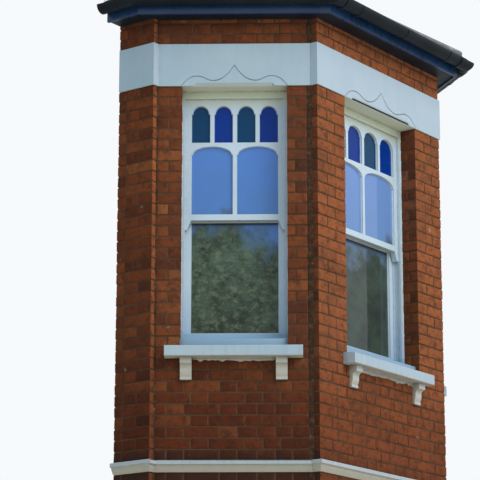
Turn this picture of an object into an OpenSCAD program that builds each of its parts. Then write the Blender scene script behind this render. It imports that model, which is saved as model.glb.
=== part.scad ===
// Canted brick bay window with three sash windows, cut off at the main wall.
// X runs to the right, the front faces -Y, Z is up and the ground is at Z = 0.

/* [Plan] */
// Length of each short return, square to the main wall
return_len = 293; // [230:1:420]
// Length of each canted side along its face
cant_len = 1045; // [980:5:1300]
// Angle between a canted side and the main wall
cant_angle = 55; // [48:1:62]
// Length of the front face
front_len = 1570; // [1440:5:1900]
// Side of the small square nib at each end of a canted side
nib = 48; // [20:1:70]
// Thickness of the brick walls
wall_t = 225; // [215:1:260]
// Thickness of the thicker brickwork under the floor
base_t = 330; // [300:1:380]

/* [Courses] */
// Height of one brick course with its bed joint
course = 75.5; // [70:0.5:80]
// Courses of brick under the string course
base_courses = 4; // [2:1:8]
// Courses between the string course and the sills
apron_courses = 9; // [7:1:12]
// Courses between the string course and the head band
window_courses = 34; // [31:1:38]
// Courses that the head band takes up
band_courses = 4; // [3:1:5]
// Courses of brick over the head band
top_courses = 3; // [3:1:5]

/* [Stonework] */
// Projection of the string course
string_out = 44; // [30:1:60]
// Projection of the head band
band_out = 12; // [5:1:25]
// Size of the chamfer on the lower arris of the head band over each window
band_chamfer = 20; // [10:1:26]
// Distance of the chamfer's ends inside the window opening
chamfer_stop = 82; // [50:1:150]
// Width of the line cut into the head band over each window
groove_w = 8; // [5:1:12]
// Depth of that line
groove_d = 6; // [3:1:10]
// Projection of the stone sills
sill_out = 97; // [70:1:120]
// Height of the front face of a stone sill
sill_h = 72; // [60:1:76]
// Reach of a side sill past its window opening
cant_horn = 96; // [60:1:110]
// Reach of the front sill past its window opening
front_horn = 44; // [30:1:110]
// Width of a sill bracket
bracket_w = 77; // [60:1:90]
// Height of a sill bracket
bracket_h = 146; // [120:1:180]
// Projection of a sill bracket at its top block
bracket_out = 62; // [45:1:66]
// Distance of the side sill brackets inside the window opening
cant_bracket_in = 6; // [0:1:60]
// Distance of the front sill brackets inside the window opening
front_bracket_in = 26; // [0:1:60]

/* [Windows] */
// Width of each side window opening
cant_open = 720; // [640:5:760]
// Width of the front window opening
front_open = 918; // [800:2:1000]
// Depth of the brick reveal in front of the frame
reveal = 125; // [105:1:135]
// How far the box frame reaches behind the brick at each side
rebate = 80; // [50:1:84]
// Width of the frame seen beside each sash
lining_show = 22; // [15:1:35]
// Thickness of the outer lining
lining_t = 20; // [15:1:30]
// Depth of the sash runs past the edge of the lining
run_depth = 14; // [8:1:14]
// Height of the frame head under the band
head_h = 48; // [30:1:70]
// Thickness of a sash
sash_t = 40; // [32:1:45]
// Clearance round a sash in its frame
sash_gap = 0.5; // [0.3:0.1:0.9]
// Thickness of the parting bead between the sashes
bead_t = 8; // [6:1:12]
// Width of the sash stiles
stile_w = 55; // [45:1:65]
// Thickness of the glazing bars
bar_w = 27; // [18:1:32]
// Thickness of the glass
glass_t = 4; // [3:0.5:6]
// Height of the top rail of the upper sash
top_rail = 60; // [50:1:80]
// Height of the row of coloured lights
coloured_h = 262; // [220:1:300]
// Rise of the arched tops of the lights
arch_rise = 56; // [40:1:58]
// Step at each side where an arched top springs
shoulder = 8; // [3:1:12]
// Height of the bar under the coloured lights
cross_bar = 28; // [20:1:40]
// Height of the meeting rails
meeting_rail = 42; // [35:1:60]
// Height from the top of the meeting rail to the head of the upper glass row
upper_light_h = 480; // [420:1:520]
// Height of the top rail of the lower sash
lower_top_rail = 42; // [35:1:60]
// Height of the bottom rail of the lower sash
bottom_rail = 56; // [45:1:90]
// Length of the horns under the upper sash
horn_len = 66; // [40:1:90]

/* [Room] */
// Thickness of the plaster on the inner faces
plaster_t = 12; // [8:1:20]
// Thickness of the ceiling
ceiling_t = 60; // [40:1:65]
// Reach of the window boards into the room
board_out = 55; // [30:1:90]
// Thickness of the window boards
board_t = 25; // [18:1:35]

/* [Roof] */
// Pitch of the slate roof
pitch = 32; // [25:1:40]
// Overhang of the eaves to the face of the fascia
eaves_out = 150; // [110:1:200]
// Thickness of the fascia board
fascia_t = 22; // [18:1:30]
// Height of the fascia board
fascia_h = 148; // [140:1:180]
// Thickness of the soffit boards
soffit_t = 12; // [9:1:20]
// Height of the underside of the eaves over the head band
soffit_up = 178; // [150:1:200]
// Outer radius of the half-round gutter
gutter_r = 56; // [45:1:60]
// Thickness of the gutter wall
gutter_t = 3.5; // [3:0.5:6]
// Thickness of the gutter's stop ends at the main wall
gutter_end_t = 4; // [3:0.5:8]
// Depth of the gutter rim under the top of the fascia
gutter_drop = 50; // [40:1:60]
// Thickness of the slates and battens
slate_t = 32; // [25:1:45]
// Reach of the slates past the fascia
slate_out = 40; // [25:1:50]
// Depth of the notch where a rafter sits on the wall plate
notch = 25; // [15:1:35]
// Width of the wall plate
plate_w = 100; // [75:1:110]
// Distance of the wall plate inside the brick face
plate_in = 10; // [0:1:15]
// Thickness of a rafter
rafter_w = 47; // [38:1:60]
// Depth of a rafter
rafter_h = 100; // [80:1:120]
// Spacing of the rafters
rafter_step = 400; // [350:10:600]
// Thickness of the lead
lead_t = 4; // [3:0.5:6]
// Width of the lead on each side of a hip
hip_w = 80; // [60:1:120]
// Reach of the lead flashing over the slates
flashing_w = 150; // [100:5:180]
// Height of the lead flashing up the main wall
flashing_up = 90; // [60:5:150]

/* [Hidden] */

// Colours
brick_colour = [0.42, 0.17, 0.11];
stone_colour = [0.72, 0.76, 0.78];
paint_colour = [0.66, 0.75, 0.80];
dark_colour = [0.10, 0.11, 0.13];
slate_colour = [0.27, 0.29, 0.33];
lead_colour = [0.45, 0.46, 0.48];
wood_colour = [0.62, 0.47, 0.31];
plaster_colour = [0.88, 0.86, 0.81];

// Plan: the left half is worked out from the main wall outwards, then mirrored
cos_c = cos(cant_angle);
sin_c = sin(cant_angle);
half_w = front_len / 2 + nib + cant_len * cos_c;
depth = return_len + cant_len * sin_c + nib;
reach = depth + eaves_out + 2 * gutter_r;
mid_y = reach / 2;

// Heights
string_z = base_courses * course;
floor_z = string_z + course;
sill_z = floor_z + apron_courses * course;
band_z = floor_z + window_courses * course;
top_z = band_z + band_courses * course;
plate_z = top_z + top_courses * course;
soffit_z = top_z + soffit_up;
fascia_lap = 10;
fascia_z = soffit_z - fascia_lap;
eaves_z = fascia_z + fascia_h;

// Sills: front arris, brick face and window seat
sill_fall = 9;
sill_front_z = sill_z + sill_h;
sill_back_z = sill_front_z + sill_fall;
seat_z = sill_back_z;
nose_y = 30;
nose_h = 60;
nose_fall = 14;
nose_chamfer = 4;
inner_lining_t = 12;
frame_d = lining_t + 2 * sash_t + bead_t + inner_lining_t + 4 * sash_gap;
frame_back = reveal + frame_d;
stool_z = seat_z + nose_h + nose_fall;

// Sashes
upper_y = reveal + lining_t + sash_gap;
bead_y = upper_y + sash_t + sash_gap;
lower_y = bead_y + bead_t + sash_gap;
upper_top = band_z - head_h + run_depth - sash_gap;
coloured_top = upper_top - top_rail + sash_gap;
coloured_bottom = coloured_top - coloured_h;
clear_top = coloured_bottom - cross_bar;
meeting_z = clear_top - upper_light_h;
lower_top = meeting_z;
upper_bottom = meeting_z - meeting_rail;
lower_light_h = lower_top - lower_top_rail - stool_z - bottom_rail;
far = 9000;

// Intersection of the left canted line, moved out by d, with a line of given x or y
function cant_at_x(d, x) = let (x0 = -half_w + nib, y0 = -return_len)
    [x, y0 - (d + (x - x0) * sin_c) / cos_c];
function cant_at_y(d, y) = let (x0 = -half_w + nib, y0 = -return_len)
    [x0 - (d - (y0 - y) * cos_c) / sin_c, y];

// Left half of the wall outline moved out by d, with its nibs
function left_outline(d) = [
    [-half_w - d, 0],
    [-half_w - d, -return_len - d],
    cant_at_y(d, -return_len - d),
    cant_at_x(d, -front_len / 2 - d),
    [-front_len / 2 - d, -depth - d]];

// Left half of the plain outline moved out by d, without nibs
function left_plain(d) = [
    [-half_w - d, 0],
    cant_at_x(d, -half_w - d),
    cant_at_y(d, -depth - d)];

function mirrored(points) = [for (i = [len(points) - 1:-1:0]) [-points[i][0], points[i][1]]];
function outline(d) = concat(left_outline(d), mirrored(left_outline(d)));
function plain(d) = concat(left_plain(d), mirrored(left_plain(d)));
function backwards(points) = [for (i = [len(points) - 1:-1:0]) points[i]];
function part_of(points, a, b) = [for (i = [a:b]) points[i]];
function cut_corners(points, cut) = concat([points[0]],
    [for (i = [1:len(points) - 2]) for (next = [points[i - 1], points[i + 1]])
        points[i] + cut * (next - points[i]) / norm(next - points[i])],
    [points[len(points) - 1]]);

// Place a child on a face: X along the face, Y into the wall, origin on the brick face
module on_face(side) {
    if (side == 0)
        translate([0, -depth, 0]) children();
    else
        translate([side * (half_w - nib - cant_len * cos_c / 2), -return_len - cant_len * sin_c / 2, 0])
            rotate([0, 0, side * cant_angle]) children();
}

// Solid between two heights over a plan polygon
module prism(points, z0, z1) {
    translate([0, 0, z0]) linear_extrude(z1 - z0) polygon(points);
}

// Plan of a wall from outline point a to b, with inner points of the plain outline
function wall_plan(d, t, a, b, c, e) = concat(part_of(outline(d), a, b), backwards(part_of(plain(-t), c, e)));

// Direction that the outside of run i of the plain outline faces
function facing(i) = let (along = plain(0)[i + 1] - plain(0)[i]) atan2(-along[0], along[1]);

// Long solid with a moulding's profile on a vertical plane through a point that faces the angle
module behind(point, direction) {
    translate([point[0], point[1], 0]) rotate([90, 0, direction])
        linear_extrude(2 * far, center = true) children();
}

// Masonry
module base_wall(a, b, c, e) {
    color(brick_colour) prism(wall_plan(0, base_t, a, b, c, e), 0, string_z);
}
function arc(x, y, r, a0, a1, n) = [for (i = [0:n]) let (a = a0 + (a1 - a0) * i / n) [x + r * cos(a), y + r * sin(a)]];

// String course: a splay, a hollow, a flat face and a small chamfer, on the front of a plain wall
hollow_r = 18;
splay_h = 30;
splay_start = 8;
string_chamfer = 6;
module string_solid(point, direction) {
    behind(point, direction) translate([0, string_z]) polygon(concat(
        [[-far, 0], [splay_start, 0]], arc(string_out, splay_h, hollow_r, 180, 90, 6),
        [[string_out, course - string_chamfer], [string_out - string_chamfer, course], [-far, course]]));
}
module string_block(points) {
    intersection() {
        prism(points, string_z - 1, floor_z + 1);
        children();
    }
}
module side_string() {
    outer = 2 * string_out;
    inside = wall_t / 2;
    hidden_x = -half_w + nib / 4;
    color(stone_colour) {
        prism(wall_plan(0, wall_t, 0, 3, 0, 2), string_z, floor_z);
        string_block([[-half_w - outer, 0], [-half_w - outer, -return_len - outer],
                      [-half_w + inside, -return_len - outer], [-half_w + inside, 0]]) intersection() {
            string_solid([-half_w, 0], 180);
            string_solid([0, -return_len], 270);
        }
        string_block([cant_at_x(outer, hidden_x), outline(outer)[3], outline(0)[3],
                      cant_at_x(-inside, -front_len / 2 - wall_t), cant_at_x(-inside, hidden_x)])
            string_solid(outline(0)[2], 270 - cant_angle);
    }
}
module front_string() {
    outer = 2 * string_out;
    half = [outline(0)[3], outline(outer)[3], outline(outer)[4]];
    inner = [front_len / 2 - wall_t, -depth + wall_t / 2];
    color(stone_colour) {
        prism(wall_plan(0, wall_t, 3, 6, 2, 3), string_z, floor_z);
        string_block(concat(half, mirrored(half), [inner, [-inner[0], inner[1]]])) intersection() {
            string_solid([-front_len / 2, 0], 180);
            string_solid([0, -depth], 270);
            string_solid([front_len / 2, 0], 0);
        }
    }
}
// Walls between the string course and the head band, cut out for the box frames, and the piers left of them
module pier_cut(side, open) {
    on_face(side) translate([-open / 2 - rebate, reveal, seat_z])
        cube([open + 2 * rebate, wall_t, band_z - seat_z + 1]);
}
module window_walls() {
    color(brick_colour) difference() {
        prism(concat(outline(0), backwards(plain(-wall_t))), floor_z, band_z);
        pier_cut(-1, cant_open);
        pier_cut(0, front_open);
        pier_cut(1, cant_open);
    }
}
module beside_window(side, towards, open) {
    on_face(side) translate([towards > 0 ? open / 2 : -far - open / 2, -far / 2, 0])
        cube([far, far, far]);
}
module wall_pier(side) {
    intersection() {
        window_walls();
        beside_window(side, side, cant_open);
    }
}
module corner_pier(side) {
    intersection() {
        window_walls();
        beside_window(side, -side, cant_open);
        beside_window(0, side, front_open);
    }
}
module apron(side, open) {
    color(brick_colour) on_face(side)
        translate([-open / 2, 0, floor_z]) cube([open, wall_t, sill_z - floor_z]);
}

// Curve of the line cut into the band: t runs from the middle of a window to its jamb
dip_t = 0.41;
crest_t = 0.69;
peak_h = 144;
dip_h = 35;
crest_h = 67;
function brace(t) = t < dip_t ? dip_h + (peak_h - dip_h) * pow(1 - t / dip_t, 2.2)
    : t < crest_t ? dip_h + (crest_h - dip_h) * (1 - cos(180 * (t - dip_t) / (crest_t - dip_t))) / 2
    : crest_h * cos(90 * pow((t - crest_t) / (1 - crest_t), 1.3));
brace_steps = 40;
groove_upright = 0.7;
module brace_groove(open) {
    for (s = [-1, 1]) {
        line = [for (i = [0:brace_steps]) let (t = i / brace_steps) [s * t * open / 2, brace(t)]];
        polygon(concat([for (p = line) p + [0, groove_w * groove_upright]], [for (i = [brace_steps:-1:0]) line[i]]));
    }
}
module band_piece(a, b, c, e) {
    color(stone_colour) prism(wall_plan(band_out, wall_t, a, b, c, e), band_z, top_z);
}
module band_groove(side, open) {
    on_face(side) translate([0, -band_out + groove_d, band_z]) rotate([90, 0, 0])
        linear_extrude(groove_d + 1) brace_groove(open);
}
module chamfer_wedge(reach, size) {
    translate([-reach, -band_out, band_z]) rotate([90, 0, 90])
        linear_extrude(2 * reach) polygon([[-1, -1], [size + 1, -1], [-1, size + 1]]);
}
module stopped_chamfer(side, open) {
    reach = open / 2 - chamfer_stop;
    on_face(side) hull() {
        chamfer_wedge(reach, 0);
        chamfer_wedge(reach - band_chamfer, band_chamfer);
    }
}
module left_band() {
    color(stone_colour) difference() {
        band_piece(0, 3, 0, 2);
        band_groove(-1, cant_open);
        stopped_chamfer(-1, cant_open);
    }
}
module front_band() {
    color(stone_colour) difference() {
        band_piece(3, 6, 2, 3);
        band_groove(0, front_open);
        stopped_chamfer(0, front_open);
    }
}

module upper_walls() {
    color(brick_colour) prism(concat(outline(0), backwards(plain(-wall_t))), top_z, plate_z);
}

// Stone sill: a weathered block between the jambs with horns on the brick face and a drip under its nose
sill_round = 8;
sill_chamfer = 4;
drip_in = 20;
drip_w = 14;
drip_h = 6;
drip_slope = 3;
module sill(side, open, horn) {
    color(stone_colour) on_face(side) {
        translate([-open / 2 - horn, 0, 0]) rotate([90, 0, 90])
            linear_extrude(open + 2 * horn) polygon([
                [0, sill_z], [-drip_in, sill_z], [-drip_in - drip_slope, sill_z + drip_h],
                [-drip_in - drip_w + drip_slope, sill_z + drip_h], [-drip_in - drip_w, sill_z],
                [-sill_out + sill_chamfer, sill_z], [-sill_out, sill_z + sill_chamfer],
                each arc(-sill_out + sill_round, sill_front_z - sill_round, sill_round, 180, 90, 2),
                [0, sill_back_z]]);
        translate([-open / 2, 0, sill_z]) cube([open, wall_t, seat_z - sill_z]);
    }
}

// Sill bracket: a top block, a hollow and swelling neck and a small foot
neck_top = 30;
neck_taper = 12;
neck_swell = 5;
block_h = 0.27 * bracket_h;
block_step = 6;
block_slope = 4;
foot_h = 0.14 * bracket_h;
foot_step = 5;
foot_slope = 3;
function neck(t) = neck_top - neck_taper * t + neck_swell * sin(180 * t);
module bracket_profile() {
    hollow = bracket_out - block_step - neck_top;
    hollow_z = -block_h - block_slope;
    neck_h = bracket_h - block_h - block_slope - hollow - foot_h;
    foot_x = neck(1) + foot_step;
    polygon(concat(
        [[0, 0], [bracket_out, 0], [bracket_out, -block_h], [bracket_out - block_step, hollow_z]],
        [for (i = [1:6]) let (a = 15 * i) [bracket_out - block_step - hollow * sin(a), hollow_z - hollow * (1 - cos(a))]],
        [for (i = [1:8]) let (t = i / 8) [neck(t), hollow_z - hollow - t * neck_h]],
        [[foot_x, -bracket_h + foot_h - foot_slope], [foot_x, -bracket_h], [0, -bracket_h]]));
}
module bracket_pair(side, open, inset) {
    color(stone_colour) on_face(side) for (s = [-1, 1])
        translate([s * (open / 2 - inset - bracket_w / 2) - bracket_w / 2, 0, sill_z])
            rotate([90, 0, 90]) linear_extrude(bracket_w) mirror([1, 0, 0]) bracket_profile();
}

module brackets() {
    bracket_pair(-1, cant_open, cant_bracket_in);
    bracket_pair(0, front_open, front_bracket_in);
    bracket_pair(1, cant_open, cant_bracket_in);
}

// Box frame with two sash runs, a parting bead and a timber sill
module window_frame(side, open) {
    box_w = open + 2 * rebate;
    show_w = open - 2 * lining_show;
    run_w = show_w + 2 * run_depth;
    color(paint_colour) on_face(side) {
        difference() {
            translate([-box_w / 2, reveal, seat_z]) cube([box_w, frame_d, band_z - seat_z]);
            translate([-show_w / 2, reveal - 1, stool_z]) cube([show_w, frame_d + 2, band_z - head_h - stool_z]);
            for (y = [upper_y, lower_y])
                translate([-run_w / 2, y - sash_gap, stool_z])
                    cube([run_w, sash_t + 2 * sash_gap, band_z - head_h + run_depth - stool_z]);
        }
        translate([-open / 2, 0, 0]) rotate([90, 0, 90]) linear_extrude(open)
            polygon([[nose_y, seat_z], [nose_y, seat_z + nose_h - nose_chamfer],
                     [nose_y + nose_chamfer, seat_z + nose_h],
                     [reveal, stool_z], [reveal, seat_z]]);
    }
}

// Light with an arched top on small shoulders, from its lower left corner
arch_steps = 24;
module light(w, h) {
    spring = h - arch_rise;
    a = w / 2 - shoulder;
    polygon(concat([[0, 0], [w, 0], [w, spring - shoulder / 2], [w - shoulder, spring]],
        [for (i = [1:arch_steps - 1]) let (q = 180 * i / arch_steps)
            [w / 2 + a * cos(q), spring + arch_rise * sin(q)]],
        [[shoulder, spring], [0, spring - shoulder / 2]]));
}
function glazed_w(open) = open - 2 * lining_show + 2 * run_depth - 2 * sash_gap - 2 * stile_w;
function light_w(open, n) = (glazed_w(open) - (n - 1) * bar_w) / n;
function light_x(open, n, i) = -glazed_w(open) / 2 + i * (light_w(open, n) + bar_w);
horn_taper = 0.55;
horn_swell = 6;
function horn_edge(x, s) = [for (i = [0:8]) let (t = i / 8)
    [x + s * (stile_w * (1 - horn_taper * t) - horn_swell * sin(180 * t)), upper_bottom - horn_len * t * (2 - t)]];
module sash_outline(w) {
    polygon(concat([[-w / 2, upper_top], [-w / 2, upper_bottom - horn_len]],
        backwards(horn_edge(-w / 2, 1)), horn_edge(w / 2, -1),
        [[w / 2, upper_bottom - horn_len], [w / 2, upper_top]]));
}
module upper_sash(side, open) {
    color(paint_colour) on_face(side) translate([0, upper_y + sash_t, 0]) rotate([90, 0, 0])
        linear_extrude(sash_t) difference() {
            sash_outline(glazed_w(open) + 2 * stile_w);
            for (i = [0:3])
                translate([light_x(open, 4, i), coloured_bottom]) light(light_w(open, 4), coloured_h);
            for (i = [0:1])
                translate([light_x(open, 2, i), meeting_z]) light(light_w(open, 2), upper_light_h);
        }
}
module lower_sash(side, open) {
    sash_w = glazed_w(open) + 2 * stile_w;
    color(paint_colour) on_face(side) difference() {
        translate([-sash_w / 2, lower_y, stool_z]) cube([sash_w, sash_t, lower_top - stool_z]);
        translate([-glazed_w(open) / 2, lower_y - 1, stool_z + bottom_rail])
            cube([glazed_w(open), sash_t + 2, lower_light_h]);
    }
}
module coloured_glass(side, open) {
    on_face(side) translate([0, upper_y + sash_t / 2 + glass_t / 2, 0])
        rotate([90, 0, 0]) linear_extrude(glass_t) for (i = [0:3])
            translate([light_x(open, 4, i), coloured_bottom]) light(light_w(open, 4), coloured_h);
}
module clear_glass(side, open) {
    on_face(side) {
        translate([0, upper_y + sash_t / 2 + glass_t / 2, 0]) rotate([90, 0, 0]) linear_extrude(glass_t)
            for (i = [0:1])
                translate([light_x(open, 2, i), meeting_z]) light(light_w(open, 2), upper_light_h);
        translate([-glazed_w(open) / 2, lower_y + sash_t / 2 - glass_t / 2, stool_z + bottom_rail])
            cube([glazed_w(open), glass_t, lower_light_h]);
    }
}

module coloured_lights() {
    color([0.06, 0.22, 0.38, 0.8]) {
        coloured_glass(-1, cant_open);
        coloured_glass(0, front_open);
        coloured_glass(1, cant_open);
    }
}
module clear_panes() {
    color([0.55, 0.65, 0.75, 0.4]) {
        clear_glass(-1, cant_open);
        clear_glass(0, front_open);
        clear_glass(1, cant_open);
    }
}

// Inside
module window_board(side, open) {
    board_w = open + 2 * rebate;
    color(paint_colour) on_face(side)
        translate([-board_w / 2, frame_back, stool_z - board_t]) cube([board_w, board_out, board_t]);
}
module all_boards() {
    window_board(-1, cant_open);
    window_board(0, front_open);
    window_board(1, cant_open);
}
module plaster() {
    color(plaster_colour) difference() {
        prism(concat(plain(-wall_t), backwards(plain(-wall_t - plaster_t))), floor_z, plate_z);
        for (side = [-1, 0, 1]) {
            open = side == 0 ? front_open : cant_open;
            on_face(side) translate([-open / 2 - rebate, 0, seat_z])
                cube([open + 2 * rebate, wall_t + plaster_t + 2, band_z - seat_z]);
        }
    }
}
module floor_slab() {
    color(wood_colour) prism(plain(-wall_t), string_z, floor_z);
}
module ceiling_slab() {
    color(plaster_colour) prism(plain(-plate_in - plate_w), plate_z, plate_z + ceiling_t);
}

// Eaves
module soffit_boards() {
    color(dark_colour) prism(concat(outline(0), backwards(plain(eaves_out - fascia_t))), soffit_z, soffit_z + soffit_t);
}
module fascia_boards() {
    color(dark_colour) prism(concat(plain(eaves_out), backwards(plain(eaves_out - fascia_t))), fascia_z, eaves_z);
}
// Half-round gutter: everything behind its street side, less everything behind its wall side
gutter_mid = eaves_out + gutter_r;
gutter_z = eaves_z - gutter_drop;
gutter_steps = 8;
gutter_margin = 5;
function quarter(r, a0, a1) = arc(gutter_mid, gutter_z, r, a0, a1, gutter_steps);
module street_side(i, r, above) {
    behind(plain(0)[i], facing(i)) polygon(concat(
        [[-far, gutter_z - r]], quarter(r, 270, 360),
        [[gutter_mid + r, gutter_z + above + 1], [-far, gutter_z + above + 1]]));
}
module wall_side(i, r) {
    low = gutter_z - r - gutter_margin;
    high = gutter_z + 4 * gutter_margin;
    behind(plain(0)[i], facing(i)) polygon(concat(
        [[-far, low], [gutter_mid, low]], quarter(r, 270, 180),
        [[gutter_mid - r, high], [-far, high]]));
}
module half_round(first, last, r, above) {
    difference() {
        intersection_for(i = [first:last])
            street_side(i, r, above);
        intersection_for(i = [first:last])
            wall_side(i, r);
    }
}
module gutter_trough(first, last) {
    outer = eaves_out + 3 * gutter_r;
    low = gutter_z - 2 * gutter_r;
    color(dark_colour) difference() {
        intersection() {
            prism(concat(part_of(plain(0), first, last + 1), backwards(part_of(plain(outer), first, last + 1))),
                low, gutter_z);
            half_round(first, last, gutter_r, 0);
        }
        intersection() {
            translate([-far, -far - gutter_end_t, low]) cube([2 * far, far, eaves_z]);
            half_round(first, last, gutter_r - gutter_t, gutter_margin);
        }
    }
}

// Roof: five slopes over the returns, the canted sides and the front
slope_turn = [-90, -cant_angle, 0, cant_angle, 90];
slate_edge = eaves_out + slate_out;
corner_cut = 8;
roof_plan = cut_corners(plain(slate_edge), corner_cut);
hip_d = -left_plain(0)[1][1] / (left_plain(1)[1][1] - left_plain(0)[1][1]);
function hip_top(i) = i == 1 ? plain(hip_d)[1] : plain(-depth)[2];

// Everything under the slopes, at height z over the plane of the rafter tops
module under_slopes(z) {
    intersection_for(i = [0:4])
        translate([plain(eaves_out)[i][0], plain(eaves_out)[i][1], eaves_z + z])
            rotate([0, 0, slope_turn[i]]) rotate([pitch, 0, 0])
                translate([-far, -far, -far]) cube([2 * far, 2 * far, far]);
}

// Layer between two heights over that plane
module layer(z0, z1) {
    difference() {
        intersection() {
            linear_extrude(2 * eaves_z) children();
            under_slopes(z1);
        }
        under_slopes(z0);
    }
}
module slates() {
    color(slate_colour) layer(0, slate_t) polygon(roof_plan);
}

// Strips along the hips and along the main wall
module hips(w) {
    for (s = [0, 1], i = [1, 2]) {
        a = plain(slate_edge)[i];
        b = hip_top(i);
        mirror([s, 0]) translate(a) rotate(atan2(b[1] - a[1], b[0] - a[0]))
            translate([-2 * w, -w]) square([norm(b - a) + 4 * w, 2 * w]);
    }
}
module wall_strip(w) {
    translate([-far / 2, -w]) square([far, w]);
}
module flashings() {
    color(lead_colour) difference() {
        union() {
            layer(-slate_t, slate_t + lead_t) intersection() {
                polygon(roof_plan);
                union() {
                    hips(hip_w);
                    wall_strip(flashing_w);
                }
            }
            layer(-slate_t, slate_t + flashing_up) intersection() {
                polygon(roof_plan);
                wall_strip(lead_t);
            }
        }
        under_slopes(slate_t);
    }
}

// Timbers: wall plate, common and jack rafters, hip rafters and the rafters against the main wall
rafter_drop = rafter_h / cos(pitch);
function roof_z(d) = eaves_z + (eaves_out - d) * tan(pitch);
plate_top = roof_z(-plate_in) - rafter_drop + notch;
tail_d = eaves_out - fascia_t;
function slope_plan(i) =
    i == 0 ? [plain(tail_d)[0], plain(tail_d)[1], hip_top(1)]
    : i == 1 ? [plain(tail_d)[1], plain(tail_d)[2], hip_top(2), hip_top(1)]
    : [plain(tail_d)[2], plain(tail_d)[3], mirrored([hip_top(2)])[0], hip_top(2)];
module jack_rafters(i) {
    middle = (plain(eaves_out)[i] + plain(eaves_out)[i + 1]) / 2;
    count = floor(norm(plain(eaves_out)[i + 1] - plain(eaves_out)[i]) / rafter_step / 2 + 3);
    intersection() {
        polygon(slope_plan(i));
        translate(middle) rotate(slope_turn[i]) for (k = [-count:count])
            translate([k * rafter_step - rafter_w / 2, 0]) square([rafter_w, far]);
    }
}
module timber_plan() {
    for (s = [0, 1], i = [0, 1])
        mirror([s, 0]) jack_rafters(i);
    jack_rafters(2);
    intersection() {
        polygon(cut_corners(plain(tail_d), corner_cut));
        union() {
            wall_strip(rafter_w);
            hips(rafter_w / 2);
        }
    }
}
module plate_ring() {
    prism(concat(plain(-plate_in), backwards(plain(-plate_in - plate_w))), plate_z, plate_top);
}
module plate() {
    color(wood_colour) plate_ring();
}

// The rafters are notched over the wall plate
module rafters() {
    color(wood_colour) difference() {
        layer(-rafter_drop, 0) timber_plan();
        plate_ring();
    }
}

// Everything stands so that the middle of its footprint is the origin
module placed() {
    translate([0, mid_y, 0]) children();
}
placed() base_wall(0, 3, 0, 2);  // left_base_wall
placed() base_wall(3, 6, 2, 3);  // front_base_wall
placed() base_wall(6, 9, 3, 5);  // right_base_wall
placed() side_string();  // left_string_course
placed() front_string();  // front_string_course
placed() mirror([1, 0, 0]) side_string();  // right_string_course
placed() wall_pier(-1);  // left_wall_pier
placed() corner_pier(-1);  // left_corner_pier
placed() corner_pier(1);  // right_corner_pier
placed() wall_pier(1);  // right_wall_pier
placed() apron(-1, cant_open);  // left_apron
placed() apron(0, front_open);  // front_apron
placed() apron(1, cant_open);  // right_apron
placed() left_band();  // left_head_band
placed() front_band();  // front_head_band
placed() mirror([1, 0, 0]) left_band();  // right_head_band
placed() sill(-1, cant_open, cant_horn);  // left_sill
placed() sill(0, front_open, front_horn);  // front_sill
placed() sill(1, cant_open, cant_horn);  // right_sill
placed() brackets();  // sill_brackets
placed() window_frame(-1, cant_open);  // left_window_frame
placed() window_frame(0, front_open);  // front_window_frame
placed() window_frame(1, cant_open);  // right_window_frame
placed() upper_sash(-1, cant_open);  // left_upper_sash
placed() upper_sash(0, front_open);  // front_upper_sash
placed() upper_sash(1, cant_open);  // right_upper_sash
placed() lower_sash(-1, cant_open);  // left_lower_sash
placed() lower_sash(0, front_open);  // front_lower_sash
placed() lower_sash(1, cant_open);  // right_lower_sash
placed() coloured_lights();  // coloured_glass
placed() clear_panes();  // clear_glass
placed() all_boards();  // window_boards
placed() plaster();  // wall_plaster
placed() floor_slab();  // floor
placed() ceiling_slab();  // ceiling
placed() soffit_boards();  // soffit
placed() fascia_boards();  // fascia
placed() gutter_trough(0, 1);  // left_gutter
placed() gutter_trough(2, 2);  // front_gutter
placed() mirror([1, 0, 0]) gutter_trough(0, 1);  // right_gutter
placed() plate();  // wall_plate
placed() rafters();
placed() slates();  // slate_roof
placed() flashings();  // lead_flashings
placed() upper_walls();  // upper_brickwork
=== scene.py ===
"""Looks of a canted brick bay window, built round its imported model.

Lengths are metres. X runs to the right, the front faces -Y and Z is up, as in the model.
"""

import random
from bisect import bisect
from functools import reduce
from math import cos, pi, radians, sin, tan

import bmesh
import bpy
from mathutils import Matrix, Vector
from mathutils.noise import noise


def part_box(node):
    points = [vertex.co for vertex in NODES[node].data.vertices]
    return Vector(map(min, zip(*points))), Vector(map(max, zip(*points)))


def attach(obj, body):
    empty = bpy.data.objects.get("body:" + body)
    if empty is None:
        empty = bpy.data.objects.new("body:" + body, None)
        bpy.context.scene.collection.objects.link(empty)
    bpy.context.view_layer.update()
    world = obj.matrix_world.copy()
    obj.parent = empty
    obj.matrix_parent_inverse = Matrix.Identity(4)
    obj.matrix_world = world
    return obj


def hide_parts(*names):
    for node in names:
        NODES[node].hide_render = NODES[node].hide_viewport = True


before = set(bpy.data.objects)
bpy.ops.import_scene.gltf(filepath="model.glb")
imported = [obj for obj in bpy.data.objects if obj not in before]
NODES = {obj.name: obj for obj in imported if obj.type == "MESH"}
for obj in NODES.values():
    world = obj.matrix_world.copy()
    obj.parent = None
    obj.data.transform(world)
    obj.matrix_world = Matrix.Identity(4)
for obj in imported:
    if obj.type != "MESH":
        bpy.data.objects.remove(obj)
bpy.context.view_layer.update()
SCENE = bpy.context.scene

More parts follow.
